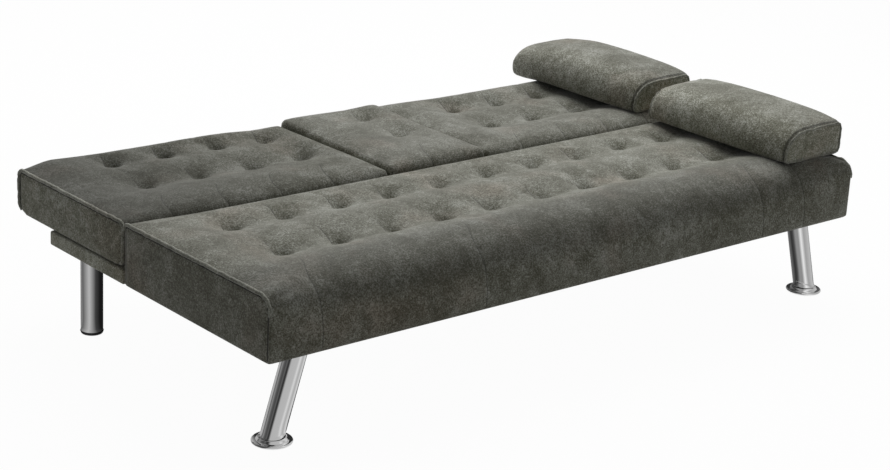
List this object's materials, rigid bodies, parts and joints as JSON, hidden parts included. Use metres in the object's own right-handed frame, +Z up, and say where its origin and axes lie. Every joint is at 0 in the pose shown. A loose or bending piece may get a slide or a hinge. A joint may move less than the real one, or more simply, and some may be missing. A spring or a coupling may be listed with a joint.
{
  "type": "click clack sofa bed",
  "caption": "Click clack sofa bed opened flat: button tufted faux suede seat and folding back, fold down console with cup wells, loose cushions and chrome tube legs.",
  "frame": {"origin": "on the floor under the middle of the whole outline, from the seat's front edge to the rear cushion's far end", "axes": "+X along the length, from the end with no cushions to the end with them; the front faces -Y; +Z up"},
  "size_m": [1.7, 1.007, 0.4365],
  "materials": {
    "suede": "matte faux suede",
    "foam": "open cell foam",
    "pine": "sawn",
    "plywood": "sanded",
    "dust_cloth": "non-woven",
    "chrome": "polished",
    "zinc_steel": "zinc plated",
    "rubber": "matte",
    "black_plastic": "moulded"
  },
  "bodies": {
    "base": {"seat_cover": "suede", "base_left_sleeve": "suede", "base_right_sleeve": "suede", "base_rear_sleeve": "suede", "seat_foam": "foam", "seat_front_rail": "pine", "seat_rear_rail": "pine", "seat_centre_rail": "pine", "seat_left_end_rail": "pine", "seat_right_end_rail": "pine", "base_left_side_rail": "pine", "base_right_side_rail": "pine", "base_rear_rail": "pine", "left_bumper": "rubber", "rear_left_foot_cap": "rubber", "front_left_leg": "chrome", "front_left_foot_flange": "chrome", "rear_left_leg": "chrome", "left_hinge_bracket": "zinc_steel", "right_bumper": "rubber", "rear_right_foot_cap": "rubber", "front_right_leg": "chrome", "front_right_foot_flange": "chrome", "rear_right_leg": "chrome", "right_hinge_bracket": "zinc_steel", "seat_deck": "plywood", "seat_dust_cover": "dust_cloth"},
    "back": {"back_left_cover": "suede", "back_right_cover": "suede", "back_left_foam": "foam", "back_right_foam": "foam", "back_left_front_rail": "pine", "back_left_rear_rail": "pine", "back_left_outer_rail": "pine", "back_left_inner_rail": "pine", "back_left_panel": "plywood", "back_left_dust_cover": "dust_cloth", "back_right_front_rail": "pine", "back_right_rear_rail": "pine", "back_right_outer_rail": "pine", "back_right_inner_rail": "pine", "back_right_panel": "plywood", "back_right_dust_cover": "dust_cloth", "back_cross_board": "plywood", "left_hinge_arm": "zinc_steel", "left_hinge_pivot_pin": "zinc_steel", "right_hinge_arm": "zinc_steel", "right_hinge_pivot_pin": "zinc_steel", "console_left_pin": "zinc_steel", "console_right_pin": "zinc_steel"},
    "console": {"console_cover": "suede", "console_board": "plywood", "console_left_cheek": "pine", "console_left_cup_well": "black_plastic", "console_right_cheek": "pine", "console_right_cup_well": "black_plastic"},
    "left_pawl": {"left_pawl": "zinc_steel"},
    "right_pawl": {"right_pawl": "zinc_steel"},
    "front_cushion": {"front_pillow": "suede"},
    "rear_cushion": {"rear_pillow": "suede"}
  },
  "joints": [
    {"name": "back_fold", "type": "hinge", "parent": "base", "child": "back", "pos_m": [0, 0.0635, 0.286], "axis": [1, 0, 0], "range_deg": [0, 75]},
    {"name": "console_fold", "type": "hinge", "parent": "back", "child": "console", "pos_m": [0, 0.1675, 0.296], "axis": [1, 0, 0], "range_deg": [0, 105]},
    {"name": "front_pillow_slide", "type": "slide", "parent": "base", "child": "front_cushion", "axis": [0, -1, 0], "range_m": [0, 0.09]},
    {"name": "rear_pillow_slide", "type": "slide", "parent": "back", "child": "rear_cushion", "axis": [0, 1, 0], "range_m": [0, 0.05]},
    {"name": "left_pawl_lift", "type": "hinge", "parent": "back", "child": "left_pawl", "pos_m": [-0.8025, 0.11934, 0.26928], "axis": [1, 0, 0], "range_deg": [0, 12], "stiffness_Nm_per_rad": 0.05, "springref_deg": -17.19},
    {"name": "right_pawl_lift", "type": "hinge", "parent": "back", "child": "right_pawl", "pos_m": [0.8025, 0.11934, 0.26928], "axis": [1, 0, 0], "range_deg": [0, 12], "stiffness_Nm_per_rad": 0.05, "springref_deg": -17.19}
  ],
  "couplings": [
    {"joint": "front_pillow_slide", "follows": "back_fold", "m_per_rad": 0.065},
    {"joint": "rear_pillow_slide", "follows": "back_fold", "m_per_rad": 0.028},
    {"joint": "right_pawl_lift", "follows": "left_pawl_lift", "ratio": 1}
  ]
}
